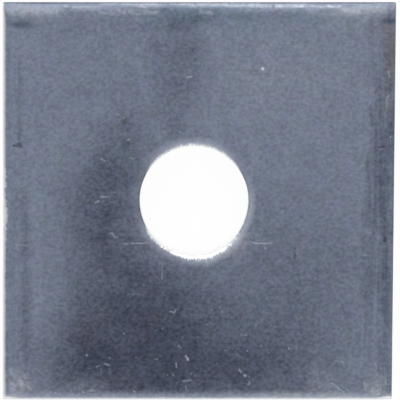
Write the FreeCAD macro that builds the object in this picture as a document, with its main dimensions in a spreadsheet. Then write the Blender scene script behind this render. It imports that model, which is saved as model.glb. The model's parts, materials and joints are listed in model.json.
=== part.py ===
# Square bearing plate for a bolt: a piece of rolled flat bar, sheared to length and punched.
# The origin is the middle of the underside, X runs across the bar, Y along it, Z up to the punched face.
import FreeCAD, Part
import math
import os
import Sketcher

# Driving sizes in millimetres, and one angle in degrees: alias, value, what it measures
SIZES = [
    ("bar_width", 62.95, "across the two rolled edges"),
    ("cut_length", 64.1, "between the two sheared ends"),
    ("cut_skew", 0.32, "angle of both sheared ends out of square to the bar"),
    ("plate_thickness", 6.35, "underside to punched face"),
    ("edge_band", 3.3, "width of the eased band along each rolled edge"),
    ("edge_drop", 0.15, "fall of that band before its corner turns down"),
    ("edge_nose", 0.7, "corner radius of the rolled edge"),
    ("shear_roll", 1.7, "width of the face that the shear drew down"),
    ("shear_drop", 0.4, "fall of the drawn face before its corner turns down"),
    ("shear_nose", 0.5, "corner radius at the foot of the drawn face"),
    ("shear_land", 1.9, "height of the burnished land of a sheared end"),
    ("shear_break", 0.6, "how far the torn part of a sheared end leans in"),
    ("hole_diameter", 17.5, "burnished land of the punched hole"),
    ("hole_shift_x", -0.68, "hole axis from the middle, across the bar"),
    ("hole_shift_y", 0.25, "hole axis from the middle, along the bar"),
    ("punch_roll", 1.3, "width of the face that the punch drew down"),
    ("punch_drop", 0.3, "fall of the drawn rim before its corner turns down"),
    ("punch_nose", 0.5, "corner radius at the foot of the drawn rim"),
    ("punch_land", 2.4, "height of the burnished land in the hole"),
    ("punch_break", 0.4, "how far the torn part of the hole opens out"),
]

# A sketch's own names for its horizontal axis, its origin and the points of a line or arc
AXIS_X = -1
START, END, CENTRE = 1, 2, 3
ORIGIN = (-1, START)

doc = FreeCAD.newDocument("bearing_plate")
sheet = doc.addObject("Spreadsheet::Sheet", "Sizes")
for row, (alias, value, note) in enumerate(SIZES, start=1):
    sheet.set(f"A{row}", alias)
    sheet.set(f"B{row}", str(value))
    sheet.setAlias(f"B{row}", alias)
    sheet.set(f"C{row}", note)
doc.recompute()

body = doc.addObject("PartDesign::Body", "BearingPlate")
body.Label = "bearing_plate"
body.Placement = FreeCAD.Placement()


def size(alias):
    return sheet.get(alias)


def new_sketch(name, plane):
    sketch = body.newObject("Sketcher::SketchObject", name)
    support = next(item for item in body.Origin.OriginFeatures if item.Role == plane)
    sketch.AttachmentSupport = (support, "")
    sketch.MapMode = "FlatFace"
    return sketch


def line(sketch, start, end):
    return sketch.addGeometry(Part.LineSegment(FreeCAD.Vector(*start), FreeCAD.Vector(*end)), False)


def arc(sketch, centre, radius, first, last):
    circle = Part.Circle(FreeCAD.Vector(*centre), FreeCAD.Vector(0, 0, 1), radius)
    return sketch.addGeometry(Part.ArcOfCircle(circle, first, last), False)


def dimension(sketch, kind, points, drawn, formula):
    # A driving dimension: it starts at the drawn value and follows a formula of the sheet's sizes
    index = sketch.addConstraint(Sketcher.Constraint(kind, *points, drawn))
    sketch.setExpression(f"Constraints[{index}]", formula)


def between(sketch, kind, first, second, sign, formula):
    # The distance from one point to another, measured along the sign's direction
    if sign < 0:
        first, second = second, first
    gap = sketch.getPoint(*second) - sketch.getPoint(*first)
    drawn = gap.x if kind == "DistanceX" else gap.y
    dimension(sketch, kind, first + second, drawn, formula)


def join(sketch, first, second):
    sketch.addConstraint(Sketcher.Constraint("Coincident", *first, *second))


class Shoulder:
    # Where a flat face is drawn down to a side: a wide arc leaves the face, a small nose turns into the side.
    # The two arcs are tangent to each other, to the face and to the side, and run counterclockwise.

    def __init__(self, sketch, corner, side_sign, face_sign, width, drop, nose):
        roll, fall, radius = size(width), size(drop), size(nose)
        depth = radius + fall
        wide = (roll * roll - 2 * roll * radius + depth * depth) / (2 * fall)
        turn = math.atan2(wide - depth, roll - radius)
        wide_centre = (corner[0] - side_sign * roll, corner[1] - face_sign * wide)
        nose_centre = (corner[0] - side_sign * radius, corner[1] - face_sign * depth)
        side_angle = 0 if side_sign > 0 else math.pi
        face_angle = face_sign * math.pi / 2
        meet_angle = math.atan2(face_sign * math.sin(turn), side_sign * math.cos(turn))
        if side_sign * face_sign > 0:
            nose_arc = arc(sketch, nose_centre, radius, side_angle, meet_angle)
            wide_arc = arc(sketch, wide_centre, wide, meet_angle, face_angle)
            self.side, self.face = (nose_arc, START), (wide_arc, END)
            self.first, self.last = self.side, self.face
            meeting = (nose_arc, END, wide_arc, START)
        else:
            wide_arc = arc(sketch, wide_centre, wide, face_angle, meet_angle)
            nose_arc = arc(sketch, nose_centre, radius, meet_angle, side_angle)
            self.face, self.side = (wide_arc, START), (nose_arc, END)
            self.first, self.last = self.face, self.side
            meeting = (wide_arc, END, nose_arc, START)
        sketch.addConstraint(Sketcher.Constraint("Tangent", *meeting))
        sketch.addConstraint(Sketcher.Constraint("Vertical", *self.face, wide_arc, CENTRE))
        sketch.addConstraint(Sketcher.Constraint("Horizontal", *self.side, nose_arc, CENTRE))
        dimension(sketch, "Radius", (nose_arc,), radius, f"Sizes.{nose}")
        between(sketch, "DistanceX", self.face, self.side, side_sign, f"Sizes.{width}")
        between(sketch, "DistanceY", self.side, self.face, face_sign, f"Sizes.{nose} + Sizes.{drop}")


def rolled_bar():
    # The bar's section, padded past both ends by one thickness for the shear to take off
    sketch = new_sketch("BarSection", "XZ_Plane")
    half, top = size("bar_width") / 2, size("plate_thickness")
    band = ("edge_band", "edge_drop", "edge_nose")
    inner = half - size("edge_band")
    depth = size("edge_nose") + size("edge_drop")
    underside = line(sketch, (-inner, 0), (inner, 0))
    low_right = Shoulder(sketch, (half, 0), 1, -1, *band)
    right = line(sketch, (half, depth), (half, top - depth))
    high_right = Shoulder(sketch, (half, top), 1, 1, *band)
    face = line(sketch, (inner, top), (-inner, top))
    high_left = Shoulder(sketch, (-half, top), -1, 1, *band)
    left = line(sketch, (-half, top - depth), (-half, depth))
    low_left = Shoulder(sketch, (-half, 0), -1, -1, *band)
    lines = [underside, right, face, left]
    shoulders = [low_right, high_right, high_left, low_left]
    for index, shoulder in enumerate(shoulders):
        join(sketch, (lines[index], END), shoulder.first)
        join(sketch, shoulder.last, (lines[(index + 1) % len(lines)], START))
    for flat in (underside, face):
        sketch.addConstraint(Sketcher.Constraint("Horizontal", flat))
    for upright in (right, left):
        sketch.addConstraint(Sketcher.Constraint("Vertical", upright))
    sketch.addConstraint(Sketcher.Constraint("PointOnObject", underside, START, AXIS_X))
    between(sketch, "DistanceX", ORIGIN, (right, START), 1, "Sizes.bar_width / 2")
    between(sketch, "DistanceX", ORIGIN, (left, START), -1, "Sizes.bar_width / 2")
    between(sketch, "DistanceY", ORIGIN, (face, START), 1, "Sizes.plate_thickness")
    pad = body.newObject("PartDesign::Pad", "RolledBar")
    pad.Profile = sketch
    pad.SideType = "Symmetric"
    pad.setExpression("Length", "Sizes.cut_length + 2 * Sizes.plate_thickness")
    return sketch, pad


def sheared_end(name, sign):
    # One end of the plate: drawn down on the punched face, a burnished land, then a torn face that leans in.
    # Both ends are drawn down on that face, as when a strip is cut out between one plate and the next.
    sketch = new_sketch(f"{name}Section", "YZ_Plane")
    skew = FreeCAD.Rotation(FreeCAD.Vector(0, 1, 0), size("cut_skew"))
    sketch.AttachmentOffset = FreeCAD.Placement(FreeCAD.Vector(), skew)
    sketch.setExpression("AttachmentOffset.Rotation.Angle", "Sizes.cut_skew")
    thickness = size("plate_thickness")
    end = sign * size("cut_length") / 2
    land_top = thickness - size("shear_nose") - size("shear_drop")
    land_foot = land_top - size("shear_land")
    roll_start = end - sign * size("shear_roll")
    break_foot = end - sign * size("shear_break")
    clear = end + sign * 2 * thickness
    over = 2 * thickness
    under = -thickness
    land = line(sketch, (end, land_foot), (end, land_top))
    drawn = Shoulder(sketch, (end, thickness), sign, 1, "shear_roll", "shear_drop", "shear_nose")
    rise = line(sketch, (roll_start, thickness), (roll_start, over))
    across = line(sketch, (roll_start, over), (clear, over))
    fall = line(sketch, (clear, over), (clear, under))
    back = line(sketch, (clear, under), (break_foot, under))
    foot = line(sketch, (break_foot, under), (break_foot, 0))
    torn = line(sketch, (break_foot, 0), (end, land_foot))
    join(sketch, (land, END), drawn.side)
    join(sketch, drawn.face, (rise, START))
    chain = [rise, across, fall, back, foot, torn, land]
    for first, second in zip(chain, chain[1:]):
        join(sketch, (first, END), (second, START))
    for upright in (land, rise, fall, foot):
        sketch.addConstraint(Sketcher.Constraint("Vertical", upright))
    for flat in (across, back):
        sketch.addConstraint(Sketcher.Constraint("Horizontal", flat))
    between(sketch, "DistanceX", ORIGIN, (land, START), sign, "Sizes.cut_length / 2")
    between(sketch, "DistanceX", (torn, START), (torn, END), sign, "Sizes.shear_break")
    between(sketch, "DistanceX", (land, START), (fall, START), sign, "2 * Sizes.plate_thickness")
    between(sketch, "DistanceY", (land, START), (land, END), 1, "Sizes.shear_land")
    between(sketch, "DistanceY", (torn, START), drawn.face, 1, "Sizes.plate_thickness")
    between(sketch, "DistanceY", (rise, START), (rise, END), 1, "Sizes.plate_thickness")
    between(sketch, "DistanceY", (foot, START), (foot, END), 1, "Sizes.plate_thickness")
    sketch.addConstraint(Sketcher.Constraint("PointOnObject", torn, START, AXIS_X))
    cut = body.newObject("PartDesign::Pocket", name)
    cut.Profile = sketch
    cut.Type = "ThroughAll"
    cut.SideType = "Symmetric"
    return sketch, cut


def punched_hole():
    # The hole's section turned about its axis: a drawn rim, a burnished land, then a torn part that opens out
    sketch = new_sketch("HoleSection", "XZ_Plane")
    sketch.setExpression("AttachmentOffset.Base.x", "Sizes.hole_shift_x")
    sketch.setExpression("AttachmentOffset.Base.z", "-Sizes.hole_shift_y")
    radius, top = size("hole_diameter") / 2, size("plate_thickness")
    land_top = top - size("punch_nose") - size("punch_drop")
    land_foot = land_top - size("punch_land")
    mouth = radius + size("punch_roll")
    outlet = radius + size("punch_break")
    rim = Shoulder(sketch, (radius, top), -1, 1, "punch_roll", "punch_drop", "punch_nose")
    land = line(sketch, (radius, land_top), (radius, land_foot))
    torn = line(sketch, (radius, land_foot), (outlet, 0))
    floor = line(sketch, (outlet, 0), (0, 0))
    axis = line(sketch, (0, 0), (0, top))
    lid = line(sketch, (0, top), (mouth, top))
    chain = [land, torn, floor, axis, lid]
    join(sketch, rim.last, (land, START))
    for first, second in zip(chain, chain[1:]):
        join(sketch, (first, END), (second, START))
    join(sketch, (lid, END), rim.first)
    join(sketch, (axis, START), ORIGIN)
    for upright in (land, axis):
        sketch.addConstraint(Sketcher.Constraint("Vertical", upright))
    for flat in (floor, lid):
        sketch.addConstraint(Sketcher.Constraint("Horizontal", flat))
    between(sketch, "DistanceY", (axis, START), (axis, END), 1, "Sizes.plate_thickness")
    between(sketch, "DistanceX", ORIGIN, (land, START), 1, "Sizes.hole_diameter / 2")
    between(sketch, "DistanceY", (land, END), (land, START), 1, "Sizes.punch_land")
    between(sketch, "DistanceX", (torn, START), (torn, END), 1, "Sizes.punch_break")
    hole = body.newObject("PartDesign::Groove", "PunchedHole")
    hole.Profile = sketch
    hole.ReferenceAxis = (sketch, ["V_Axis"])
    hole.Angle = 360
    return sketch, hole


steps = [rolled_bar()]
doc.recompute()
steps.append(sheared_end("FarEnd", 1))
doc.recompute()
steps.append(sheared_end("NearEnd", -1))
doc.recompute()
steps.append(punched_hole())
doc.recompute()

# Every sketch is pinned, every feature is sound, and each cut takes metal off
for item in doc.Objects:
    if "Invalid" in item.State or "Error" in item.State:
        raise RuntimeError(f"{item.Label} did not build: {item.State}")
for sketch, feature in steps:
    if not sketch.FullyConstrained:
        raise RuntimeError(f"{sketch.Label} is not fully constrained")
features = [feature for sketch, feature in steps]
for before, after in zip(features, features[1:]):
    if after.Shape.Volume >= before.Shape.Volume:
        raise RuntimeError(f"{after.Label} took no metal off")
if body.Shape.isNull() or not body.Shape.isValid() or len(body.Shape.Solids) != 1:
    raise RuntimeError("the plate is not one sound solid")

os.makedirs("parts", exist_ok=True)
body.Shape.exportStep(f"parts/{body.Label}.step")
box = body.Shape.BoundBox
print(f"{body.Label}: {box.XLength:.2f} x {box.YLength:.2f} x {box.ZLength:.2f} mm,"
      f" {body.Shape.Volume:.0f} mm3")
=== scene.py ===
import json
import math
import bmesh
import bpy
from mathutils import Matrix, Vector, noise


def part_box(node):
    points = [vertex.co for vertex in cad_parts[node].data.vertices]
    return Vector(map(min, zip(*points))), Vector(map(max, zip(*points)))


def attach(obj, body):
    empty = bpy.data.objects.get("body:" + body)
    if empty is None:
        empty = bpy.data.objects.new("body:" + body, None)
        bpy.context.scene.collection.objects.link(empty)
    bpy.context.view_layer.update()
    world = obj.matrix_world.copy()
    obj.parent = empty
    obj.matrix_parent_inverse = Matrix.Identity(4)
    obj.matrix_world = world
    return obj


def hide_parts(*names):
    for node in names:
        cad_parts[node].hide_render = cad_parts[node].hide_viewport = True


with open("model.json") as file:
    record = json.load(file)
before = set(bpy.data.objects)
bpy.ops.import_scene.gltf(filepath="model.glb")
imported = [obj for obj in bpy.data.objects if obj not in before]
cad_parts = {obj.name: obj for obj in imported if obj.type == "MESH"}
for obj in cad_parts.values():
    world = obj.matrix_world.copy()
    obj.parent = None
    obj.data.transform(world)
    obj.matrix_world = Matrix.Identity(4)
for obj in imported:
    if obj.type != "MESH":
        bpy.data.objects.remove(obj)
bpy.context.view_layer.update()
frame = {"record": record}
mm = 0.001

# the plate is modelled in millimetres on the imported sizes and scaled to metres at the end
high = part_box("bearing_plate")[1]
boltHole = next(m for m in frame["record"]["mounts"] if m["name"] == "bolt_hole")
holeX = boltHole["pos_m"][0] / mm
holeY = boltHole["pos_m"][1] / mm
holeR = boltHole["dims"]["r_mm"]
holeLand = boltHole["dims"]["length_mm"]

plate = {
    "around": 1040,                                           # points round the hole and the outline
    # rows of points over each zone, from the foot of the hole round to the underside
    "rows": {"torn": 7, "land": 4, "rim": 12, "face": 24, "border": 18, "wall": 14,
             "underBorder": 6, "under": 6},
    "skew": 0.32,                                             # ends out of square to the bar, degrees
    "edge": {"width": 3.3, "drop": 0.15, "nose": 0.7},        # rolled edge of the bar
    "roll": {"width": 1.7, "drop": 0.4, "nose": 0.5},         # face drawn down by the shear
    "rim": {"width": 1.3, "drop": 0.3, "nose": 0.5},          # face drawn down by the punch
    "endLand": 1.9,                                           # burnished part of a sheared end
    "endLean": 0.6,                                           # lean of its torn part
    "holeFlare": 0.4,                                         # flare of the torn part of the hole
    "frameBand": 4.0,                                         # border that follows the outline
    "endZone": (1.0, 0.8),                                    # depth from an end, torn share none and full
    "tornShine": 0.65,                                        # shine of the hole's torn part beside its land
    "shineBlend": 0.6,                                        # height over which the two run together
    "sharpAngle": 40,                                         # sharper turns show as edges, degrees
}

# marks of making and use, in millimetres
wear = {
    "spread": {"far": 1.3, "near": 0.4},                      # extra width of a drawn face at its corners
    "spreadFrom": (20.0, 30.5),                               # where it starts and is full, from the middle
    "spreadDrop": 0.25,                                       # extra drop with it, as a share
    "waves": {"height": 0.22, "length": 3.5},                 # uneven width of the drawn faces
    "fineWaves": {"height": 0.1, "length": 1.1},
    "swell": {"height": 0.02, "length": 8.0},                 # slow waves of the rolled faces
    "fineSwell": {"height": 0.004, "length": 1.7},
    # ridges of torn metal: length and steepness of two kinds, and the lean or share they grow over
    "tear": {"depth": 0.11, "coarse": (0.9, 0.25), "fine": (0.38, 0.4), "lead": 0.25, "holeLead": 0.3},
    # rough stretch of the left edge: where it starts and ends along the bar and fades to its foot
    "bruise": {"height": 0.05, "length": 0.6, "start": (-12.0, -8.0), "end": (5.0, 9.0),
               "foot": (0.2, 3.0)},
    "cornerLoss": 0.06,
    "cornerFrom": 1.99,                                       # sum of places on the square, 2 at a corner
    "rubReach": 1.4,                                          # how far in from the outline the rubbing goes
    # ragged lower rim of the hole: direction in degrees, cosines where it starts and is full
    "rimLoss": {"depth": 0.10, "aim": 295, "spread": (0.6, 0.95), "landShare": 0.3,
                "tooth": 0.03, "least": 0.3, "teeth": 0.9},
    # dents: x, y, half width, half height, depth
    "dents": [(-29.0, 9.2, 1.0, 0.7, 0.08), (27.9, 14.0, 0.6, 1.8, 0.05), (29.2, 9.1, 1.1, 0.5, 0.05)],
    "dentFloor": 0.2,                                         # flat share of a dent
    # one number for each field of noise, and the step between two fields
    "seeds": {"far": 1, "near": 11, "face": 5, "under": 15, "farTear": 21, "nearTear": 31,
              "bruise": 41, "rim": 51, "holeTear": 61},
    "seedStep": 7.31,
}
seeds = wear["seeds"]

slant = math.tan(math.radians(plate["skew"]))
halfX = high.x / mm
halfY = high.y / mm - halfX * slant
thick = high.z / mm
endFoot = thick - plate["roll"]["drop"] - plate["roll"]["nose"] - plate["endLand"]
landTop = thick - plate["rim"]["drop"] - plate["rim"]["nose"]
landFoot = landTop - holeLand
print("frame: plate %.2f x %.2f x %.2f mm" % (halfX * 2, halfY * 2, thick))


def ripple(x, y, size, seed):
    return noise.noise(Vector((x / size, y / size, seed * wear["seedStep"])))


def ramp(value, start, end):
    t = min(max((value - start) / (end - start), 0.0), 1.0)
    return t * t * (3 - 2 * t)


def between(start, end, share):
    return start + (end - start) * share


# waves between nothing and twice their height
def waves(x, y, kind, seed):
    return wear[kind]["height"] * (1 + ripple(x, y, wear[kind]["length"], seed))


# fall of a drawn-down face at a distance in from its side: a wide arc, then a nose
def drawnDown(inset, width, drop, nose):
    if inset >= width:
        return 0.0
    depth = drop + nose
    wide = (width * width - 2 * width * nose + depth * depth) / (2 * drop)
    turn = math.atan2(wide - depth, width - nose)
    run = width - inset
    if run <= wide * math.cos(turn):
        return wide - math.sqrt(wide * wide - run * run)
    across = nose - max(inset, 0.0)
    return depth - math.sqrt(max(nose * nose - across * across, 0.0))


def edgeFall(x):
    return drawnDown(halfX - abs(x), **plate["edge"])


# the shear drew the face down further towards the corners, and unevenly
def rollFall(x, inset, end):
    roll = plate["roll"]
    corner = ramp(abs(x), *wear["spreadFrom"])
    uneven = waves(x, 0, "waves", seeds[end]) + waves(x, 0, "fineWaves", seeds[end] + 1)
    width = roll["width"] + wear["spread"][end] * corner + uneven
    drop = roll["drop"] * (1 + wear["spreadDrop"] * wear["spread"][end] * corner)
    return drawnDown(inset, width, drop, roll["nose"])


def swell(x, w, seed):
    return waves(x, w, "swell", seed) + waves(x, w, "fineSwell", seed + 2)


def dent(x, w):
    deepest = 0.0
    for dentX, dentY, halfWidth, halfHeight, depth in wear["dents"]:
        away = math.hypot((x - dentX) / halfWidth, (w + x * slant - dentY) / halfHeight)
        deepest = max(deepest, depth * ramp(away, 1.0, wear["dentFloor"]))
    return deepest


# w is the place along the bar, measured from a line parallel to the skewed ends
def topHeight(x, w):
    reach = math.hypot(x - holeX, w + x * slant - holeY) - holeR
    ends = max(rollFall(x, halfY - w, "far"), rollFall(x, halfY + w, "near"))
    fall = max(edgeFall(x), ends, drawnDown(reach, **plate["rim"]))
    return thick - fall - swell(x, w, seeds["face"]) - dent(x, w)


def underHeight(x, w):
    return edgeFall(x) + swell(x, w, seeds["under"])


# how far a sheared end stands back at a height
def endBack(z):
    return plate["endLean"] * max(0.0, 1 - z / endFoot)


# coarse ridges, with fine ones of half their height
def tear(x, z, seed):
    length, steep = wear["tear"]["coarse"]
    fineLength, fineSteep = wear["tear"]["fine"]
    coarse = (1 + ripple(x, z * steep, length, seed)) / 2
    fine = (1 + ripple(x, z * fineSteep, fineLength, seed + 1)) / 4
    return wear["tear"]["depth"] * (coarse + fine)


# the ridges grow as the end leans back
def tornGrowth(back):
    return ramp(back, 0.0, wear["tear"]["lead"])


def farEnd(x, z):
    back = endBack(z)
    return halfY - back - tear(x, z, seeds["farTear"]) * tornGrowth(back)


def nearEnd(x, z):
    back = endBack(z)
    return back + tear(x, z, seeds["nearTear"]) * tornGrowth(back) - halfY


# rough left edge and rubbed corners, as a way to push an outline point in
def bruise(u, w):
    if u > -0.999:                                            # the left edge is at -1
        return 0.0
    along = ramp(w, *wear["bruise"]["start"]) * (1 - ramp(w, *wear["bruise"]["end"]))
    return along * waves(w, 0, "bruise", seeds["bruise"])


def rubbed(u, v, x, w, z):
    corner = wear["cornerLoss"] * ramp(abs(u) + abs(v), wear["cornerFrom"], 2.0)
    x -= math.copysign(corner, u)
    w -= math.copysign(corner, v)
    x += bruise(u, w) * ramp(z, *wear["bruise"]["foot"])
    return x, w


# place on a square of half side 1 for a turn about the middle, evenly spaced along its sides
def squareSpot(turn):
    sector = round(turn / (math.pi / 2))
    along = (turn - sector * math.pi / 2) / (math.pi / 4)
    cosine = round(math.cos(sector * math.pi / 2))
    sine = round(math.sin(sector * math.pi / 2))
    return cosine - along * sine, sine + along * cosine


def topBorder(turn, inset):
    u, v = squareSpot(turn)
    return u * (halfX - inset), v * (halfY - inset)


def underBorder(turn, inset):
    u, v = squareSpot(turn)
    edgeX = u * halfX
    foot = edgeFall(edgeX)
    lowW = nearEnd(edgeX, foot) + inset
    highW = farEnd(edgeX, foot) - inset
    return u * (halfX - inset), between(lowW, highW, (v + 1) / 2)


# rubbing on a face, fading with the distance in from the outline
def partlyRubbed(turn, x, w, z, inset):
    pushedX, pushedW = rubbed(*squareSpot(turn), x, w, z)
    hold = ramp(inset, wear["rubReach"], 0.0)
    return between(x, pushedX, hold), between(w, pushedW, hold), z


def onCircle(turn, radius):
    x = holeX + radius * math.cos(turn)
    y = holeY + radius * math.sin(turn)
    return x, y - x * slant


# the punch broke out more metal low on the right of the hole
def rimLoss(turn):
    loss = wear["rimLoss"]
    side = ramp(math.cos(turn - math.radians(loss["aim"])), *loss["spread"])
    teeth = (1 + ripple(math.cos(turn), math.sin(turn), loss["tooth"], seeds["rim"])) / 2
    return loss["depth"] * side * (loss["least"] + loss["teeth"] * teeth)


# one row round the plate at a time, as functions of the turn
def tornRow(share):
    z = landFoot * share

    def place(turn):
        radius = holeR + plate["holeFlare"] * (1 - share)
        radius += tear(turn * holeR, z, seeds["holeTear"]) * ramp(1 - share, 0.0, wear["tear"]["holeLead"])
        return (*onCircle(turn, radius), z)
    return place


def landRow(share):
    z = landTop - holeLand * (1 - share)
    lost = ramp(share, wear["rimLoss"]["landShare"], 1.0)
    return lambda turn: (*onCircle(turn, holeR + rimLoss(turn) * lost), z)


def rimRow(share):
    out = plate["rim"]["width"] * share * share

    def place(turn):
        x, w = onCircle(turn, holeR + between(rimLoss(turn), 0, share) + out)
        return x, w, thick - drawnDown(out, **plate["rim"]) - swell(x, w, seeds["face"])
    return place


def faceRow(share):
    def place(turn):
        inner = onCircle(turn, holeR + plate["rim"]["width"])
        outer = topBorder(turn, plate["frameBand"])
        x = between(inner[0], outer[0], share)
        w = between(inner[1], outer[1], share)
        return x, w, topHeight(x, w)
    return place


def borderRow(share):
    inset = plate["frameBand"] * (1 - share) ** 2

    def place(turn):
        x, w = topBorder(turn, inset)
        return partlyRubbed(turn, x, w, topHeight(x, w), inset)
    return place


def wallRow(share):
    def place(turn):
        u, v = squareSpot(turn)
        topZ = topHeight(*topBorder(turn, 0))
        footZ = underHeight(*underBorder(turn, 0))
        z = between(topZ, footZ, share)
        x = u * halfX
        w = between(nearEnd(x, z), farEnd(x, z), (v + 1) / 2)
        return (*rubbed(u, v, x, w, z), z)
    return place


def underBorderRow(share):
    inset = plate["frameBand"] * share ** 2

    def place(turn):
        x, w = underBorder(turn, inset)
        return partlyRubbed(turn, x, w, underHeight(x, w), inset)
    return place


def underRow(share):
    def place(turn):
        inner = onCircle(turn, holeR + plate["holeFlare"])
        outer = underBorder(turn, plate["frameBand"])
        x = between(outer[0], inner[0], share)
        w = between(outer[1], inner[1], share)
        return x, w, underHeight(x, w)
    return place


def plateRows():
    makers = [("torn", tornRow), ("land", landRow), ("rim", rimRow), ("face", faceRow),
              ("border", borderRow), ("wall", wallRow), ("underBorder", underBorderRow),
              ("under", underRow)]
    for name, maker in makers:
        count = plate["rows"][name]
        for step in range(1, count + 1):
            yield name, maker(step / count)


# shares of torn metal on the sheared ends and of the bright land in the hole, for the finish; the land's
# brightness is partly a painted reflection
def tornShare(name, w, z):
    if name != "wall":
        return 0.0
    start, full = plate["endZone"]
    return tornGrowth(endBack(z)) * ramp(abs(w), halfY - start, halfY - full)


def boreShare(name, z):
    if name not in ("torn", "land"):
        return 0.0
    return between(plate["tornShine"], 1.0, ramp(z, landFoot - plate["shineBlend"], landFoot))


def buildPlate():
    bm = bmesh.new()
    turnLayer = bm.verts.layers.float.new("turn")
    tornLayer = bm.verts.layers.float.new("torn")
    boreLayer = bm.verts.layers.float.new("bore")
    start = bmesh.ops.create_circle(bm, segments=plate["around"], radius=1)["verts"]
    place = tornRow(0)
    for vert in start:
        vert[turnLayer] = math.atan2(vert.co.y, vert.co.x)
        vert.co = place(vert[turnLayer])
    firstLoop = list(bm.edges)
    loop = firstLoop
    rows = list(plateRows())[:-1]                             # the last row is the first one again
    for name, place in rows:
        made = bmesh.ops.extrude_edge_only(bm, edges=loop)["geom"]
        fresh = {g for g in made if isinstance(g, bmesh.types.BMVert)}
        for vert in fresh:
            spot = place(vert[turnLayer])
            vert.co = spot
            vert[tornLayer] = tornShare(name, spot[1], spot[2])
            vert[boreLayer] = boreShare(name, spot[2])
        loop = [g for g in made if isinstance(g, bmesh.types.BMEdge) and fresh.issuperset(g.verts)]
    bmesh.ops.bridge_loops(bm, edges=firstLoop + loop)
    skewed = Matrix(((1, 0, 0, 0), (slant, 1, 0, 0), (0, 0, 1, 0), (0, 0, 0, 1)))
    bmesh.ops.transform(bm, matrix=Matrix.Scale(mm, 4) @ skewed, verts=bm.verts)
    bmesh.ops.recalc_face_normals(bm, faces=bm.faces)
    print("plate: %d faces, volume %.0f mm3" % (len(bm.faces), bm.calc_volume() / mm ** 3))
    bm.verts.layers.float.remove(turnLayer)
    mesh = bpy.data.meshes.new("zincPlate")
    bm.to_mesh(mesh)
    bm.free()
    piece = bpy.data.objects.new("zincPlate", mesh)
    bpy.context.scene.collection.objects.link(piece)
    mesh.shade_smooth()
    mesh.set_sharp_from_angle(angle=math.radians(plate["sharpAngle"]))
    return piece


zincPlate = buildPlate()
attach(zincPlate, "root")
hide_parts("bearing_plate")


def node(tree, kind, inputs=None, **settings):
    made = tree.nodes.new("ShaderNode" + kind)
    for name, value in settings.items():
        setattr(made, name, value)
    for name, value in (inputs or {}).items():
        if isinstance(value, bpy.types.NodeSocket):
            tree.links.new(value, made.inputs[name])
        else:
            made.inputs[name].default_value = value
    return made


def maths(tree, operation, first, second=0.0, clamp=False):
    return node(tree, "Math", {0: first, 1: second}, operation=operation, use_clamp=clamp).outputs[0]


def vector(tree, operation, first, second=(0, 0, 0), output=0):
    return node(tree, "VectorMath", {0: first, 1: second}, operation=operation).outputs[output]


# sockets 6 and 7 and output 2 are the colours of the mix
def mixed(tree, factor, first, second, blend="MIX"):
    made = node(tree, "Mix", data_type="RGBA", blend_type=blend)
    for index, value in ((0, factor), (6, first), (7, second)):
        if isinstance(value, bpy.types.NodeSocket):
            tree.links.new(value, made.inputs[index])
        elif index == 0:
            made.inputs[index].default_value = value
        else:
            made.inputs[index].default_value = (*value, 1)
    return made.outputs[2]


def ranged(tree, value, start, end, low=0.0, high=1.0, smooth=True):
    kind = "SMOOTHSTEP" if smooth else "LINEAR"
    inputs = {"Value": value, "From Min": start, "From Max": end, "To Min": low, "To Max": high}
    return node(tree, "MapRange", inputs, interpolation_type=kind, clamp=not smooth).outputs["Result"]


def grain(tree, spot, scale, detail=3.0, rough=0.55, stretch=(1, 1, 1), output="Fac"):
    if stretch != (1, 1, 1):
        spot = node(tree, "Mapping", {"Vector": spot, "Scale": stretch}).outputs["Vector"]
    inputs = {"Vector": spot, "Scale": scale, "Detail": detail, "Roughness": rough}
    return node(tree, "TexNoise", inputs).outputs[output]


# flat spot pushed about by a noise
def strayed(tree, spot, flat, scale, detail, reach):
    push = vector(tree, "SUBTRACT", grain(tree, spot, scale, detail, output="Color"), (0.5, 0.5, 0.5))
    push = vector(tree, "MULTIPLY", push, (reach, reach, 0))
    return vector(tree, "ADD", flat, push)


# soft clouds added up, each at its strength; a negative one takes away
def clouds(tree, spot, places, start=0.0):
    total = start
    for x, y, halfWidth, halfHeight, strength in places:
        inputs = {"Vector": spot, "Location": (-x / halfWidth, -y / halfHeight, 0),
                  "Scale": (1 / halfWidth, 1 / halfHeight, 0)}
        centred = node(tree, "Mapping", inputs).outputs["Vector"]
        fade = node(tree, "TexGradient", {"Vector": centred}, gradient_type="SPHERICAL").outputs["Fac"]
        total = maths(tree, "ADD", total, ranged(tree, fade, 0.0, 1.0, 0.0, strength))
    return total


# a noise turned about zero, times an amount
def swing(tree, value, amount):
    return maths(tree, "MULTIPLY", maths(tree, "SUBTRACT", value, 0.5), amount)


# straight scratches, each fading over its width
def scratches(tree, spot, marks):
    total = 0.0
    for x0, y0, x1, y1, width, strength in marks:
        axis = Vector((x1 - x0, y1 - y0, 0))
        away = vector(tree, "SUBTRACT", spot, (x0, y0, 0))
        along = vector(tree, "DOT_PRODUCT", away, axis / axis.length_squared, "Value")
        share = maths(tree, "MAXIMUM", maths(tree, "MINIMUM", along, 1.0), 0.0)
        foot = node(tree, "VectorMath", {0: axis, "Scale": share}, operation="SCALE").outputs[0]
        gap = vector(tree, "DISTANCE", away, foot, "Value")
        total = maths(tree, "MAXIMUM", ranged(tree, gap, width, 0.0, 0.0, strength), total)
    return total


def specks(tree, spot, places):
    total = 0.0
    for x, y, width, strength in places:
        gap = vector(tree, "DISTANCE", spot, (x, y, 0), "Value")
        total = maths(tree, "MAXIMUM", ranged(tree, gap, width, 0.0, 0.0, strength), total)
    return total


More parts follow.
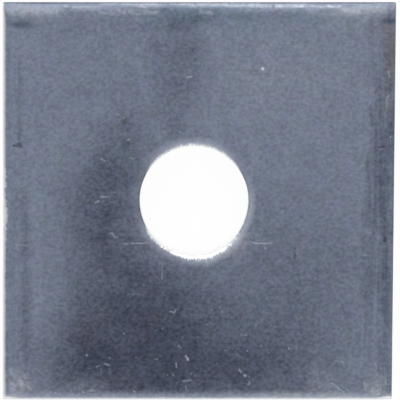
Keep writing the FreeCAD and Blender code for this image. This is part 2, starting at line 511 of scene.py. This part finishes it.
finish = {
    "light": (0.175, 0.2005, 0.266),
    "dark": (0.0535, 0.063, 0.0945),
    "drawn": (0.28, 0.31, 0.37),                              # lighter zinc over the drawn far end, partly wear and partly a painted highlight
    "greyer": (0.318, 0.334, 0.374),                            # greyer zinc along the near end
    "haze": (0.40, 0.43, 0.49),                               # painted highlight, a haze of light round the hole
    "torn": (0.20, 0.215, 0.25),
    # near white: the hole's burnished land with a painted reflection, and the painted highlight of its rim
    "bore": (0.985, 0.985, 0.985),
    "rubbed": (0.84, 0.855, 0.875),                           # zinc rubbed bright at edges
    "pale": (0.42, 0.46, 0.53),                               # scratches
    "glint": (0.46, 0.485, 0.525),                            # painted glints: streaks of highlight on the drawn far end
    "tan": (0.150, 0.135, 0.145),
    "plum": (0.076, 0.066, 0.092),
    "navy": (0.055, 0.082, 0.115),
    "teal": (0.112, 0.157, 0.207),
    "black": (0.03, 0.035, 0.05),
    # dark clouds on the punched face, partly stain and partly painted reflection shade: x, y, half width,
    # half height, strength; a negative one lightens
    "clouds": [(-10.0, -26.5, 22.0, 19.0, 0.78), (-15.3, -5.0, 9.4, 23.2, 0.66),
               (-10.6, 8.0, 7.2, 13.5, 0.32), (-6.3, -14.2, 11.5, 13.0, 0.45),
               (-3.5, 12.5, 5.0, 4.0, 0.12), (-14.3, 5.5, 4.0, 5.5, 0.14), (-9.5, -10.0, 3.5, 5.0, 0.12),
               (3.5, -15.5, 4.5, 4.0, 0.13), (8.2, -28.0, 20.0, 16.0, 0.47),
               (12.8, -14.0, 24.5, 22.0, 0.30), (-3.0, 22.0, 6.5, 20.0, 0.36),
               (-14.0, 21.0, 16.0, 14.0, 0.12), (-20.2, -21.0, 5.6, 14.0, 0.22),
               (29.2, 9.0, 3.6, 40.0, 0.36), (30.8, 8.0, 1.8, 24.0, 0.34), (30.4, -14.0, 1.5, 12.0, 0.22),
               (-16.0, -26.0, 5.0, 6.0, 0.22), (-27.6, -3.5, 1.8, 9.0, 0.18),
               (-4.0, 28.8, 13.0, 2.0, 0.22), (-18.0, 28.3, 9.0, 2.4, 0.15),
               (-27.0, 27.4, 5.0, 2.2, 0.10), (-27.0, -22.0, 4.0, 5.0, 0.10),
               (8.5, -27.5, 4.0, 4.0, 0.12), (-7.2, -12.0, 3.5, 2.5, 0.12), (-17.0, 4.0, 4.5, 5.0, 0.14),
               (-11.0, 1.6, 2.4, 3.2, -0.18), (-19.8, -21.8, 3.2, 3.2, 0.12),
               (-18.4, -6.2, 4.0, 4.0, 0.12), (-11.0, -5.6, 2.6, 2.6, 0.14),
               (-25.8, 2.0, 1.8, 14.0, -0.12), (-20.5, 4.5, 3.5, 5.0, 0.07), (-0.8, 29.8, 1.8, 2.0, 0.25),
               (-11.5, 13.0, 1.0, 1.0, 0.35), (-11.4, 9.7, 1.8, 1.3, 0.40)],
    # soft streaks along the bar and small patches, as the clouds, partly stain and partly painted shade
    "streaks": [(-27.8, -15.0, 1.2, 20.0, 0.26), (-25.9, -15.0, 1.2, 20.0, -0.18),
                (30.1, -14.0, 0.9, 20.0, 0.15), (28.7, -18.0, 0.8, 12.0, -0.06),
                (27.4, -13.0, 0.8, 14.0, 0.10), (25.4, -15.0, 2.2, 14.0, -0.07),
                (-14.8, -13.4, 5.0, 3.6, -0.17), (-4.6, -11.7, 2.4, 1.8, 0.16),
                (-14.2, -2.2, 2.2, 2.4, 0.15), (-8.2, -6.6, 2.4, 2.4, 0.16),
                (-1.4, 30.0, 1.9, 1.8, 0.20)],
    # greyer, lighter zinc, as the clouds
    "greyerClouds": [(-29.7, -30.6, 5.3, 5.2, 0.90), (29.2, -30.0, 3.2, 4.5, 1.00),
                   (25.0, 29.9, 6.5, 2.6, 0.50), (14.0, 19.0, 14.0, 9.0, 0.20),
                   (6.6, -6.8, 3.8, 3.8, 0.32), (8.5, -5.4, 2.8, 2.8, 0.28),
                   (19.5, -28.8, 5.0, 5.0, 0.22), (-18.9, -31.6, 5.5, 2.0, 0.30),
                   (20.4, -30.0, 4.5, 2.4, 0.22)],
    # painted glints along the drawn far end, scratches and dark marks: start, end, half width, strength
    "bandMarks": [(-15.8, 31.75, -3.0, 31.8, 0.45, 0.30), (-3.0, 31.75, 9.5, 31.75, 0.50, 0.50),
                  (4.1, 31.55, 11.3, 31.55, 0.40, 0.55), (12.3, 31.5, 16.6, 31.5, 0.42, 0.80),
                  (17.0, 31.5, 22.5, 31.5, 0.38, 0.55), (20.6, 31.5, 21.7, 31.5, 0.30, 0.85),
                  (23.2, 30.9, 25.6, 30.65, 0.75, 0.55), (25.0, 31.0, 29.6, 31.1, 1.20, 0.35),
                  (-30.0, 30.6, -23.0, 30.5, 1.50, 0.34), (-26.8, 30.6, -23.8, 30.3, 0.50, 0.30),
                  (-21.5, 31.3, -21.3, 31.3, 0.40, 0.60), (-20.2, 31.1, -17.5, 31.2, 0.32, 0.30),
                  (-16.0, 30.2, -14.4, 30.2, 0.42, 0.22), (-14.3, 30.1, -12.8, 30.05, 0.40, 0.22),
                  (-12.9, 30.7, -12.0, 30.3, 0.42, 0.28), (-11.3, 30.4, -9.5, 30.05, 0.42, 0.25),
                  (-9.4, 31.5, -8.6, 31.1, 0.25, 0.40), (-8.8, 30.4, -6.6, 30.4, 0.55, 0.32),
                  (0.2, 30.6, 1.9, 30.4, 0.60, 0.30), (7.7, 30.8, 8.1, 30.8, 0.30, 0.40),
                  (17.5, 30.5, 25.0, 30.3, 0.90, 0.22)],
    "scratches": [(-11.9, -6.7, -10.6, -6.65, 0.18, 0.32), (8.4, -6.2, 9.3, -6.6, 0.18, 0.40),
                  (9.3, -6.6, 11.9, -6.5, 0.20, 0.55), (-5.8, -9.9, -5.75, -12.0, 0.18, 0.24),
                  (26.3, -8.4, 27.85, -8.45, 0.20, 0.24), (21.7, -29.15, 23.7, -30.6, 0.24, 0.55),
                  (26.95, -3.9, 27.1, -4.7, 0.24, 0.22), (27.15, -4.7, 27.7, -4.8, 0.36, 0.45),
                  (30.45, 17.25, 30.05, 16.7, 0.20, 0.50), (30.15, 16.6, 29.9, 16.0, 0.20, 0.50),
                  (30.3, 16.1, 30.05, 15.5, 0.20, 0.45), (30.25, 21.25, 30.5, 20.3, 0.20, 0.45),
                  (-29.2, -7.1, -27.75, -7.1, 0.20, 0.30), (-29.0, -6.9, -29.0, -7.8, 0.22, 0.30),
                  (-16.3, -26.8, -15.7, -26.4, 0.22, 0.35), (-15.0, -26.25, -14.1, -26.4, 0.26, 0.50),
                  (-6.8, -25.4, -6.4, -25.5, 0.22, 0.30), (-1.9, -24.95, -1.45, -25.5, 0.30, 0.70),
                  (-3.4, -26.1, -3.35, -26.65, 0.24, 0.50), (-2.4, -29.0, -1.05, -28.8, 0.24, 0.40),
                  (-1.85, -29.8, -1.8, -30.4, 0.22, 0.40), (-1.8, -30.4, -1.45, -30.5, 0.22, 0.40),
                  (6.7, -27.0, 7.1, -27.5, 0.24, 0.55), (8.3, -29.0, 8.5, -29.3, 0.22, 0.45),
                  (8.5, -29.3, 8.2, -29.5, 0.22, 0.45), (22.4, -25.5, 23.6, -25.75, 0.22, 0.30),
                  (-2.05, 20.05, -1.1, 20.2, 0.20, 0.50), (-14.2, -5.05, -13.75, -5.1, 0.28, 0.45),
                  (-11.5, 9.95, -11.05, 10.05, 0.24, 0.55), (-15.6, 6.8, -15.0, 6.65, 0.26, 0.50),
                  (-11.1, 7.15, -10.4, 6.95, 0.24, 0.30), (-17.3, -30.6, -16.5, -30.7, 0.26, 0.40),
                  (-30.3, -27.4, -30.1, -27.9, 0.26, 0.30), (-28.6, -28.9, -28.4, -29.6, 0.26, 0.35),
                  (-27.9, -28.0, -27.7, -28.6, 0.24, 0.35), (-27.3, -30.0, -26.8, -30.4, 0.24, 0.40),
                  (-30.2, -29.3, -29.8, -29.6, 0.30, 0.30), (28.75, -25.9, 28.9, -26.8, 0.26, 0.30),
                  (30.4, -28.9, 30.5, -29.3, 0.22, 0.35), (-15.55, -26.9, -15.55, -27.8, 0.24, 0.14),
                  (-14.1, -26.9, -14.1, -28.0, 0.24, 0.15), (-17.8, -27.0, -17.0, -27.0, 0.18, 0.15),
                  (-30.1, -27.2, -29.6, -28.3, 0.26, 0.30), (-28.5, -29.0, -28.5, -29.9, 0.26, 0.40),
                  (-29.9, -30.2, -29.4, -30.7, 0.30, 0.30), (-15.6, 0.85, -14.65, 0.8, 0.24, 0.45),
                  (-16.55, -0.1, -15.95, 0.1, 0.26, 0.45), (-4.35, -17.6, -3.95, -17.8, 0.22, 0.40),
                  (-3.6, -17.4, -3.8, -18.0, 0.22, 0.40), (-11.3, -14.9, -9.3, -14.85, 0.20, 0.11),
                  (-3.15, -23.25, -2.65, -23.5, 0.24, 0.25), (25.4, 3.4, 27.15, 3.0, 0.24, 0.15),
                  (-10.6, -6.65, -8.0, -6.6, 0.20, 0.55), (-13.75, -5.2, -13.4, -5.6, 0.24, 0.34),
                  (-13.4, -5.75, -12.9, -5.75, 0.26, 0.40), (6.95, -21.4, 7.85, -21.45, 0.22, 0.36)],
    "darkMarks": [(-28.75, 22.5, -28.8, 11.0, 0.50, 0.28), (-28.75, 11.0, -28.8, 9.6, 0.34, 0.50),
                  (-29.6, 8.9, -28.35, 8.85, 0.32, 0.95), (-29.15, 9.2, -28.55, 9.2, 0.32, 0.90),
                  (-28.95, 9.5, -28.65, 9.5, 0.28, 0.70), (27.6, 15.1, 27.8, 12.6, 0.75, 0.50),
                  (28.9, 9.1, 29.75, 9.1, 0.32, 0.80), (28.3, 9.15, 28.9, 9.1, 0.32, 0.40),
                  (15.6, -7.3, 15.6, -8.9, 0.28, 0.60), (26.5, -28.4, 26.9, -30.6, 0.34, 0.40),
                  (29.05, -26.0, 29.05, -27.0, 0.20, 0.40), (-1.5, -30.0, -1.4, -30.0, 0.26, 0.50),
                  (30.05, -5.5, 30.05, -6.1, 0.34, 0.80), (-29.1, 16.15, -27.5, 16.1, 0.22, 0.25),
                  (27.1, 6.8, 27.2, 3.6, 0.55, 0.26), (27.5, 2.4, 27.6, -0.8, 0.45, 0.20),
                  (29.75, 2.0, 29.8, -1.7, 0.50, 0.24)],
    # bright specks: x, y, half width, strength
    "specks": [(-17.9, -24.85, 0.32, 0.60), (-14.2, -25.25, 0.24, 0.40), (-9.95, -25.2, 0.22, 0.25),
               (-4.8, -28.0, 0.24, 0.50), (-5.4, -27.8, 0.22, 0.30), (-3.9, -27.9, 0.30, 0.55),
               (-4.3, -27.55, 0.20, 0.30), (-1.05, -27.75, 0.22, 0.45), (-0.4, -28.05, 0.26, 0.30),
               (-3.2, -29.2, 0.26, 0.30), (7.75, -28.0, 0.40, 0.70), (8.4, -28.2, 0.24, 0.40),
               (-10.15, -30.65, 0.28, 0.55), (-18.4, -30.9, 0.36, 0.65), (-19.1, -31.2, 0.30, 0.40),
               (-20.45, -30.5, 0.28, 0.35), (-22.95, -31.0, 0.28, 0.30), (24.2, -30.15, 0.24, 0.50),
               (23.4, -30.4, 0.28, 0.50), (5.1, -29.75, 0.26, 0.30), (4.4, -31.0, 0.28, 0.35),
               (3.15, -26.1, 0.22, 0.25), (8.0, -23.95, 0.24, 0.40), (4.45, -23.85, 0.24, 0.35),
               (14.75, -23.55, 0.28, 0.50), (-11.85, -21.35, 0.24, 0.40), (-0.9, 14.85, 0.24, 0.35),
               (-13.9, 14.6, 0.24, 0.30), (-13.0, 13.95, 0.26, 0.30), (-11.95, 13.5, 0.28, 0.40),
               (-17.0, 9.8, 0.28, 0.40), (-3.0, 11.3, 0.24, 0.35), (-8.45, 6.5, 0.28, 0.25),
               (-11.9, 0.95, 0.30, 0.25), (10.3, 5.55, 0.22, 0.45), (10.9, -7.35, 0.28, 0.45),
               (6.1, -8.3, 0.28, 0.30), (30.7, 10.6, 0.26, 0.60), (-26.1, -7.0, 0.28, 0.25),
               (9.95, 16.25, 0.24, 0.35), (-13.25, 1.5, 0.26, 0.35), (-23.55, 12.4, 0.30, 0.30),
               (-8.2, 12.8, 0.26, 0.28), (-7.3, 12.8, 0.26, 0.28), (-5.7, -12.3, 0.26, 0.40),
               (-6.6, -20.7, 0.26, 0.30), (-5.65, -20.5, 0.26, 0.30), (-2.35, -21.9, 0.28, 0.25),
               (0.0, -21.75, 0.28, 0.25), (-8.8, -13.4, 0.24, 0.25), (-5.0, -15.8, 0.24, 0.25),
               (13.55, -1.3, 0.30, 0.30), (-23.65, -30.9, 0.28, 0.40), (-22.25, -31.25, 0.26, 0.35),
               (-20.15, -31.3, 0.30, 0.45), (-17.0, -30.5, 0.30, 0.40), (11.1, -15.5, 0.34, 0.40),
               (9.35, -19.85, 0.30, 0.40), (1.5, -19.7, 0.28, 0.40), (2.25, -17.4, 0.30, 0.30),
               (3.95, -17.65, 0.34, 0.26), (10.2, -23.15, 0.30, 0.30), (13.65, -22.6, 0.30, 0.30),
               (16.75, -18.6, 0.30, 0.26), (-5.75, -12.0, 0.30, 0.36)],
    "dots": [(10.2, 21.5, 0.40, 0.65)],                       # bare metal, as the specks
    # tinted spots, as the clouds
    "navySpots": [(30.6, 29.2, 2.4, 0.80, 0.90), (-28.4, 28.3, 3.4, 0.95, 0.75),
                  (-8.5, 31.0, 8.0, 0.60, 0.35), (2.6, 30.8, 1.2, 0.70, 0.30),
                  (-26.0, 31.85, 7.0, 0.50, 0.55)],
    "tealSpots": [(2.0, 29.9, 20.0, 2.40, 0.60), (21.0, 30.0, 12.0, 2.20, 0.28)],
    "plumSpots": [(-18.3, -21.0, 4.0, 3.6, 0.45), (-15.0, -18.6, 2.4, 2.2, 0.35),
                  (-6.8, -18.6, 2.2, 2.0, 0.40), (-8.6, -20.9, 2.2, 2.0, 0.30),
                  (-13.0, -28.8, 4.0, 1.8, 0.35)],
    "tanSpots": [(31.0, 25.2, 2.4, 8.0, 0.85), (30.4, 17.0, 2.0, 8.0, 0.40),
                 (-13.55, 12.65, 0.6, 0.6, 0.40)],
    # painted highlights round the hole: a base, and lobes with direction, cosines where they start and are
    # full, amount
    "rimLobes": (-0.35, [(92, 0.34, 0.70, 0.42), (266, 0.42, 0.66, 0.49), (268, 0.90, 0.985, 0.16),
                         (291, 0.955, 0.987, 0.18)]),
    "whiskerLobes": (0.0, [(300, 0.72, 0.93, 1.0), (95, 0.60, 0.95, 0.40), (240, 0.80, 0.97, 0.30)]),
    "hazeLobes": (0.22, [(322, 0.35, 0.95, 0.95), (95, 0.60, 0.95, 0.36), (245, 0.50, 0.95, 0.24)]),
    "boreLobes": (0.38, [(268, 0.0, 0.7, 0.62)]),             # shine of the hole's land: burnished, with a painted reflection on the near side
    "rimFade": (0.40, 0.16),                                  # soft edge of the rim, outwards and inwards
    "hairBend": 0.02,                                         # slant of the whiskers
    "hazeReach": 1.7,
    # width of the rubbed noses, and where the left one is full
    "edgeRub": {"left": 0.62, "near": 0.44, "leftFull": 0.04},
    "roughStretch": [(-halfX, -1.0, 4.0, 12.0, 1.6)],
    "rubbedCorners": [(halfX, -halfY, 3.0, 3.0, 0.5), (-halfX, -halfY, 3.0, 3.0, 0.3)],
    # depths below the face where a part of the finish starts and is full
    "depths": {"face": (1.6, 0.8), "noses": (1.9, 1.3), "rim": (3.2, 2.6)},
    "mottle": 0.42,                                           # swing of the mottle in the darkness
    "stripFill": 0.4,                                         # share of the greyer near strip between patches
    "tint": 0.09,                                             # share of coloured mottle
    "tornRough": 0.15,                                        # roughness added and taken away
    "noseSmooth": 0.12,
    "boreSmooth": 0.34,
    "bump": {"strength": 0.35, "depth": 0.03},
    # wandering of the clouds and of the marks: scale for each millimetre, detail, reach
    "wander": (0.11, 3.0, 7.0),
    "stray": (1.2, 2.0, 0.45),
    # noises: scale for each millimetre or round the hole, detail, roughness, stretch
    "noises": {"below": (0.07, 4.0), "mottle": (0.3, 3.0), "streak": (1.0, 4.0, 0.75, (1.1, 0.05, 0.3)),
               "combed": (1.0, 4.0, 0.65, (0.16, 0.9, 0.5)), "patch": (0.55, 5.0, 0.7),
               "tint": (0.45, 2.0), "fine": (1.7, 2.5, 0.72, (0.9, 1.04, 1)), "breaks": (1.6, 2.0),
               "spokes": (15.0, 3.0, 0.65), "hairs": (42.0, 2.0, 0.6), "uneven": (0.9, 3.0, 0.6),
               "rough": (0.7, 4.0, 0.7)},
    # spans: where a value starts and ends, and what it gives there
    "spans": {"slope": (32.0, -32.0, 0.0, 0.16), "nearEnd": (0.2, 1.8, 0.1, 1.0),
              "below": (0.42, 0.66, 0.1, 0.75), "sides": (24.0, 31.0, 0.15, 1.05),
              "rightSide": (25.5, 29.0, 0.0, 0.7), "combed": (0.38, 0.62), "farEnd": (2.6, 0.5),
              "drawnAcross": (-26.0, -8.0, 0.25, 0.6), "patch": (0.36, 0.62, 0.3, 0.9),
              "strip": (2.0, 0.3), "stripAcross": (3.0, 17.0, 0.24, 0.56),
              "fineDepth": (0.1, 0.8, 1.05, 1.95), "breaks": (0.3, 0.6, 0.35, 1.0),
              "spokes": (0.3, 0.7, 0.65, 1.35), "whiskers": (0.48, 0.68, 0.0, 0.55),
              "faint": (0.35, 0.65, 0.75, 1.3), "uneven": (0.3, 0.7, 0.9, 1.1),
              "rough": (0.42, 0.62, 0.0, 0.34), "leftFar": (0.0, 3.0, 0.4, 1.0),
              "roughness": (0.3, 0.7, 0.40, 0.52)},
}
noises = finish["noises"]
spans = finish["spans"]


# 0 deep in the plate and 1 near its face
def above(tree, axes, name):
    none, full = finish["depths"][name]
    return ranged(tree, axes["Z"], thick - none, thick - full)


# darkness of the zinc, partly stain and partly painted reflection shade: a slope darker towards the near
# end, clouds with wandering edges, streaks along the bar and a mottle
def darkness(tree, spot, axes, wandering, markSpot, upper, nearIn):
    slope = ranged(tree, axes["Y"], *spans["slope"], smooth=False)
    dark = clouds(tree, wandering, finish["clouds"], slope)
    dark = clouds(tree, markSpot, finish["streaks"], dark)
    dark = maths(tree, "MULTIPLY", dark, ranged(tree, nearIn, *spans["nearEnd"]))
    dark = maths(tree, "MULTIPLY", dark, upper)
    below = ranged(tree, grain(tree, spot, *noises["below"]), *spans["below"])
    dark = maths(tree, "ADD", dark, maths(tree, "MULTIPLY", below, maths(tree, "SUBTRACT", 1.0, upper)))
    streak = grain(tree, spot, *noises["streak"])
    sides = ranged(tree, maths(tree, "ABSOLUTE", axes["X"]), *spans["sides"])
    sides = maths(tree, "ADD", sides, ranged(tree, axes["X"], *spans["rightSide"]))
    dark = maths(tree, "ADD", dark, swing(tree, streak, sides))
    mottle = grain(tree, spot, *noises["mottle"])
    return maths(tree, "ADD", dark, swing(tree, mottle, finish["mottle"]), clamp=True)


# amount round the hole, built up from lobes
def lobes(tree, aim, start, places):
    total = start
    for degrees, first, full, amount in places:
        turn = math.radians(degrees)
        facing = vector(tree, "DOT_PRODUCT", aim, (math.cos(turn), math.sin(turn), 0), "Value")
        total = maths(tree, "ADD", total, ranged(tree, facing, first, full, 0.0, amount))
    return total


# painted highlight: a bright rim of the hole with ragged spokes, and a haze of light that fades beyond it
def rimShares(tree, flat):
    away = vector(tree, "SUBTRACT", flat, (holeX, holeY, 0))
    reach = maths(tree, "SUBTRACT", vector(tree, "LENGTH", away, output="Value"), holeR)
    aim = vector(tree, "NORMALIZE", away)
    spokes = ranged(tree, grain(tree, aim, *noises["spokes"]), *spans["spokes"], smooth=False)
    ragged = maths(tree, "MULTIPLY", lobes(tree, aim, *finish["rimLobes"]), spokes)
    bend = (finish["hairBend"], finish["hairBend"], 0)
    bent = vector(tree, "ADD", aim, vector(tree, "MULTIPLY", flat, bend))
    hairs = grain(tree, bent, *noises["hairs"])
    whiskers = ranged(tree, hairs, *spans["whiskers"])
    whiskers = maths(tree, "MULTIPLY", whiskers, lobes(tree, aim, *finish["whiskerLobes"]))
    tips = maths(tree, "ADD", ragged, whiskers)
    outwards, inwards = finish["rimFade"]
    bright = ranged(tree, reach, maths(tree, "ADD", tips, outwards), maths(tree, "SUBTRACT", tips, inwards))
    faint = ranged(tree, hairs, *spans["faint"], smooth=False)
    haze = maths(tree, "MULTIPLY", lobes(tree, aim, *finish["hazeLobes"]), faint)
    fade = ranged(tree, reach, maths(tree, "ADD", ragged, finish["hazeReach"]), ragged, smooth=False)
    # shine of the land, partly burnish and partly painted reflection
    polishAndSheen = lobes(tree, aim, *finish["boreLobes"])
    return bright, maths(tree, "MULTIPLY", haze, fade), polishAndSheen


# noses of the left edge and the near end, rubbed bright
def edgeShare(tree, spot, flat, axes, nearIn, farIn):
    rub = finish["edgeRub"]
    leftIn = maths(tree, "ADD", axes["X"], halfX)
    uneven = ranged(tree, grain(tree, spot, *noises["uneven"]), *spans["uneven"], smooth=False)
    rough = ranged(tree, grain(tree, spot, *noises["rough"]), *spans["rough"])
    stretch = clouds(tree, flat, finish["roughStretch"])
    leftWide = maths(tree, "MULTIPLY", uneven, rub["left"])
    leftWide = maths(tree, "ADD", leftWide, maths(tree, "MULTIPLY", rough, stretch))
    leftWide = maths(tree, "MULTIPLY", leftWide, ranged(tree, farIn, *spans["leftFar"]))
    nearWide = maths(tree, "MULTIPLY", uneven, rub["near"])
    nearWide = maths(tree, "ADD", nearWide, clouds(tree, flat, finish["rubbedCorners"]))
    left = ranged(tree, leftIn, leftWide, rub["leftFull"], smooth=False)
    near = ranged(tree, nearIn, nearWide, 0.0, smooth=False)
    upper = above(tree, axes, "noses")
    return maths(tree, "MULTIPLY", maths(tree, "MAXIMUM", left, near), upper)


def zincFinish():
    zinc = bpy.data.materials.new("zinc")
    zinc.use_nodes = True
    tree = zinc.node_tree
    shader = tree.nodes["Principled BSDF"]
    shader.inputs["Metallic"].default_value = 1.0

    place = node(tree, "TexCoord").outputs["Object"]
    spot = node(tree, "Mapping", {"Vector": place, "Scale": (1 / mm, 1 / mm, 1 / mm)}).outputs["Vector"]
    axes = node(tree, "SeparateXYZ", {"Vector": spot}).outputs
    flat = vector(tree, "MULTIPLY", spot, (1, 1, 0))
    upper = above(tree, axes, "face")
    along = maths(tree, "SUBTRACT", axes["Y"], maths(tree, "MULTIPLY", axes["X"], slant))
    nearIn = maths(tree, "ADD", along, halfY)
    farIn = maths(tree, "SUBTRACT", halfY, along)
    wandering = strayed(tree, spot, flat, *finish["wander"])
    markSpot = strayed(tree, spot, flat, *finish["stray"])

    # zinc, lighter and darker: the darkness is partly painted reflection shade, and the drawn far end partly
    # a painted highlight
    dark = darkness(tree, spot, axes, wandering, markSpot, upper, nearIn)
    color = mixed(tree, dark, finish["light"], finish["dark"])
    combed = ranged(tree, grain(tree, spot, *noises["combed"]), *spans["combed"])
    drawn = ranged(tree, farIn, *spans["farEnd"])
    drawn = maths(tree, "MULTIPLY", drawn, maths(tree, "MULTIPLY", combed, upper))
    drawn = maths(tree, "MULTIPLY", drawn, ranged(tree, axes["X"], *spans["drawnAcross"]))
    color = mixed(tree, drawn, color, finish["drawn"])
    # lighter, greyer patches and a strip along the near end
    patch = ranged(tree, grain(tree, spot, *noises["patch"]), *spans["patch"])
    greyer = maths(tree, "MULTIPLY", clouds(tree, wandering, finish["greyerClouds"]), patch)
    strip = ranged(tree, nearIn, *spans["strip"])
    strip = maths(tree, "MULTIPLY", strip, ranged(tree, axes["X"], *spans["stripAcross"]))
    strip = maths(tree, "MULTIPLY", strip, maths(tree, "ADD", patch, finish["stripFill"]))
    greyer = maths(tree, "MAXIMUM", greyer, strip)
    color = mixed(tree, maths(tree, "MULTIPLY", greyer, upper), color, finish["greyer"])
    torn = node(tree, "Attribute", attribute_name="torn").outputs["Fac"]
    color = mixed(tree, torn, color, finish["torn"])

    # tints
    for name, at in (("tan", wandering), ("plum", markSpot), ("teal", wandering), ("navy", markSpot)):
        share = maths(tree, "MULTIPLY", clouds(tree, at, finish[name + "Spots"]), upper)
        color = mixed(tree, share, color, finish[name])
    tint = grain(tree, spot, *noises["tint"], output="Color")
    color = mixed(tree, finish["tint"], color, tint, "OVERLAY")

    # fine crystal grain, stronger where the zinc is dark
    fine = grain(tree, spot, *noises["fine"])
    depth = ranged(tree, dark, *spans["fineDepth"], smooth=False)
    level = maths(tree, "ADD", swing(tree, fine, depth), 1.0)
    levels = node(tree, "CombineColor", {"Red": level, "Green": level, "Blue": level}).outputs["Color"]
    color = mixed(tree, 1.0, color, levels, "MULTIPLY")

    # painted glints along the far end, scratches, dark marks and bright specks
    breaks = ranged(tree, grain(tree, spot, *noises["breaks"]), *spans["breaks"])
    breaks = maths(tree, "MULTIPLY", breaks, upper)
    glint = scratches(tree, markSpot, finish["bandMarks"])
    color = mixed(tree, maths(tree, "MULTIPLY", glint, breaks), color, finish["glint"])
    pale = scratches(tree, markSpot, finish["scratches"])
    pale = maths(tree, "MAXIMUM", pale, specks(tree, markSpot, finish["specks"]))
    color = mixed(tree, maths(tree, "MULTIPLY", pale, breaks), color, finish["pale"])
    black = scratches(tree, markSpot, finish["darkMarks"])
    color = mixed(tree, maths(tree, "MULTIPLY", black, breaks), color, finish["black"])

    # bright bore, burnished and with a painted reflection, a painted highlight on the rim, and rubbed noses
    rim, haze, polishAndSheen = rimShares(tree, flat)
    bore = maths(tree, "MULTIPLY", node(tree, "Attribute", attribute_name="bore").outputs["Fac"], polishAndSheen)
    color = mixed(tree, maths(tree, "MULTIPLY", haze, upper), color, finish["haze"])
    rim = maths(tree, "MULTIPLY", rim, above(tree, axes, "rim"))
    color = mixed(tree, maths(tree, "MAXIMUM", bore, rim), color, finish["bore"])
    noses = edgeShare(tree, spot, flat, axes, nearIn, farIn)
    dots = maths(tree, "MULTIPLY", specks(tree, flat, finish["dots"]), upper)
    color = mixed(tree, maths(tree, "MAXIMUM", noses, dots), color, finish["rubbed"])
    tree.links.new(color, shader.inputs["Base Color"])

    rough = ranged(tree, fine, *spans["roughness"], smooth=False)
    rough = maths(tree, "ADD", rough, maths(tree, "MULTIPLY", torn, finish["tornRough"]))
    rough = maths(tree, "SUBTRACT", rough, maths(tree, "MULTIPLY", noses, finish["noseSmooth"]))
    rough = maths(tree, "SUBTRACT", rough, maths(tree, "MULTIPLY", bore, finish["boreSmooth"]))
    tree.links.new(rough, shader.inputs["Roughness"])
    relief = maths(tree, "MULTIPLY", fine, maths(tree, "SUBTRACT", 1.0, bore))
    inputs = {"Strength": finish["bump"]["strength"], "Distance": finish["bump"]["depth"] * mm,
              "Height": relief}
    bump = node(tree, "Bump", inputs)
    tree.links.new(bump.outputs["Normal"], shader.inputs["Normal"])
    return zinc


zincPlate.data.materials.append(zincFinish())
print("finish: done")

# pale floor: white to the camera and to reflections, with the shadow kept in its painted share
studio = {
    "floorSize": 1.5,
    "floorPaint": (0.92, 0.92, 0.92, 1),
    "floorRough": 0.9,
    "floorWhite": 0.95,                                       # share that shines white
    "skyLevel": 1.0,
    # soft boxes: name, place, size, power
    "softboxes": [("farSoftbox", (0, 0.30, 0.22), (0.45, 0.16), 0.45),
                  ("nearSoftbox", (0, -0.32, 0.20), (0.45, 0.12), 0.15)],
}


def buildFloor():
    bm = bmesh.new()
    bmesh.ops.create_grid(bm, x_segments=1, y_segments=1, size=studio["floorSize"])
    mesh = bpy.data.meshes.new("floor")
    bm.to_mesh(mesh)
    bm.free()
    floor = bpy.data.objects.new("floor", mesh)
    bpy.context.scene.collection.objects.link(floor)
    paint = bpy.data.materials.new("floorPaint")
    paint.use_nodes = True
    tree = paint.node_tree
    painted = tree.nodes["Principled BSDF"]
    painted.inputs["Base Color"].default_value = studio["floorPaint"]
    painted.inputs["Roughness"].default_value = studio["floorRough"]
    rays = node(tree, "LightPath").outputs
    seen = maths(tree, "MAXIMUM", rays["Is Camera Ray"], rays["Is Glossy Ray"])
    seen = maths(tree, "MAXIMUM", seen, rays["Is Transmission Ray"])
    share = maths(tree, "MULTIPLY", seen, studio["floorWhite"])
    white = node(tree, "Emission", {"Color": (1, 1, 1, 1), "Strength": 1.0})
    both = node(tree, "MixShader", {0: share, 1: painted.outputs[0], 2: white.outputs[0]})
    tree.links.new(both.outputs[0], tree.nodes["Material Output"].inputs["Surface"])
    mesh.materials.append(paint)


def buildSky():
    sky = bpy.data.worlds.new("studio")
    sky.use_nodes = True
    ground = sky.node_tree.nodes["Background"]
    ground.inputs["Color"].default_value = (1, 1, 1, 1)
    ground.inputs["Strength"].default_value = studio["skyLevel"]
    bpy.context.scene.world = sky


def softbox(name, place, size, power):
    lamp = bpy.data.lights.new(name, "AREA")
    lamp.shape = "RECTANGLE"
    lamp.size = size[0]
    lamp.size_y = size[1]
    lamp.energy = power
    holder = bpy.data.objects.new(name, lamp)
    holder.location = place
    holder.rotation_euler = (-Vector(place)).to_track_quat("-Z", "Y").to_euler()
    bpy.context.scene.collection.objects.link(holder)


buildFloor()
buildSky()
for box in studio["softboxes"]:
    softbox(*box)
print("studio: floor, sky and %d soft boxes" % len(studio["softboxes"]))

# camera: looks down on the plate from a little beyond its far end
viewer = {
    "frameWidth": 64.22 * mm,                                 # seen across the face
    "distance": 0.44,
    "sensor": 36,
    "lean": 4.53,                                             # degrees, and so is the roll
    "roll": 0.32,
    "aim": (0.28 * mm, 0.38 * mm),
}


def placeCamera():
    lens = bpy.data.cameras.new("viewer")
    lens.sensor_width = viewer["sensor"]
    lens.lens = lens.sensor_width * viewer["distance"] / viewer["frameWidth"]
    camera = bpy.data.objects.new("viewer", lens)
    camera.rotation_euler = (-math.radians(viewer["lean"]), 0, math.radians(viewer["roll"]))
    back = camera.rotation_euler.to_matrix() @ Vector((0, 0, viewer["distance"]))
    camera.location = Vector((*viewer["aim"], high.z)) + back
    bpy.context.scene.collection.objects.link(camera)
    bpy.context.scene.camera = camera


placeCamera()
print("camera: %.2f m away" % viewer["distance"])
bpy.context.scene.view_settings.view_transform = "Standard"
